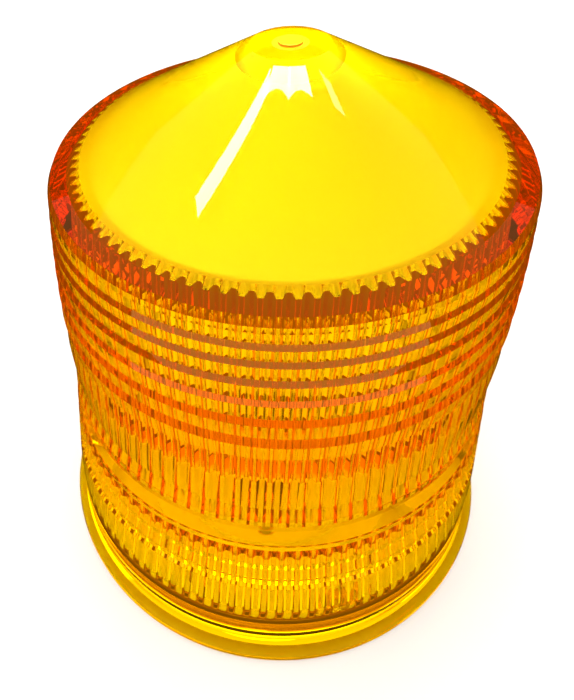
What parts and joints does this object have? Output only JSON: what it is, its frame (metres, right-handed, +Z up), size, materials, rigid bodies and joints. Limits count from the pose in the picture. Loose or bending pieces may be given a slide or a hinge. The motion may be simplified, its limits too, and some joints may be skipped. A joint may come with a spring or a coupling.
{
  "type": "barricade warning light",
  "caption": "Battery warning beacon: ribbed amber lens with a cone top and flared flange over a round base that holds the cells, LED column and switches.",
  "frame": {"origin": "centre of the lens flange's underside, on the plane the light stands on", "axes": "+Z up along the lens's axis; +Y towards the battery door's hinge; +X to its right"},
  "size_m": [0.15, 0.15, 0.1502],
  "materials": {
    "amber_lens": "clear moulded amber polycarbonate with prism steps outside and fine flutes inside",
    "white_plastic": "moulded white ABS, fine matt texture",
    "white_reflector": "smooth bright white moulded cone",
    "grey_plastic": "moulded grey nylon",
    "seal_rubber": "black moulded silicone rubber",
    "brass": "turned brass, knurled outside",
    "stainless": "stainless steel, turned and polished",
    "nickel": "nickel-plated spring steel",
    "cell_sleeve": "printed heat-shrink sleeve, plain",
    "board_white": "white solder-mask fibreglass",
    "component_black": "moulded epoxy component case",
    "capacitor_sleeve": "dark PVC sleeve",
    "copper_wire": "enamelled copper winding",
    "anodised": "clear anodised aluminium extrusion",
    "led_resin": "pale yellow LED resin",
    "lead_insulation": "red PVC insulation"
  },
  "bodies": {
    "base": {"lens_gasket": "seal_rubber", "lens_screws": "stainless", "base_plate": "white_plastic", "mount_inserts": "brass", "housing_screws": "stainless", "vent_plug": "seal_rubber", "door_hinge_pin": "stainless", "door_insert": "brass", "battery_cells": "cell_sleeve", "upper_contacts": "nickel", "battery_housing": "white_plastic", "circuit_board": "board_white", "board_posts": "white_plastic", "board_screws": "stainless", "capacitor": "capacitor_sleeve", "choke_core": "component_black", "choke_winding": "copper_wire", "driver_chip": "component_black", "resistors": "component_black", "photocell": "led_resin", "led_column": "anodised", "led_boards": "board_white", "leds": "led_resin", "reflector_stem": "white_plastic", "top_reflector": "white_reflector", "mode_switch": "component_black", "button_spring": "nickel", "test_switch": "component_black", "mode_lead": "lead_insulation", "test_lead": "lead_insulation"},
    "lens": {"lens": "amber_lens", "lens_inserts": "brass"},
    "door": {"battery_door": "white_plastic", "door_screw": "stainless", "door_seal": "seal_rubber", "door_contact_plate": "nickel", "contact_springs": "nickel"},
    "knob": {"mode_knob": "grey_plastic"},
    "button": {"test_button": "grey_plastic", "button_clip": "stainless"}
  },
  "joints": [
    {"name": "lens_lift", "type": "slide", "parent": "base", "child": "lens", "axis": [0, 0, 1], "range_m": [0, 0.155]},
    {"name": "door_hinge", "type": "hinge", "parent": "base", "child": "door", "pos_m": [0, 0.026, 0.0016], "axis": [1, 0, 0], "range_deg": [0, 105]},
    {"name": "mode_turn", "type": "hinge", "parent": "base", "child": "knob", "pos_m": [0.04464, 0.01625, 0.003], "axis": [0, 0, 1], "range_deg": [0, 90]},
    {"name": "test_press", "type": "slide", "parent": "base", "child": "button", "axis": [0, 0, 1], "range_m": [0, 0.0012], "stiffness_N_per_m": 400, "deforming": ["button_spring"]}
  ]
}
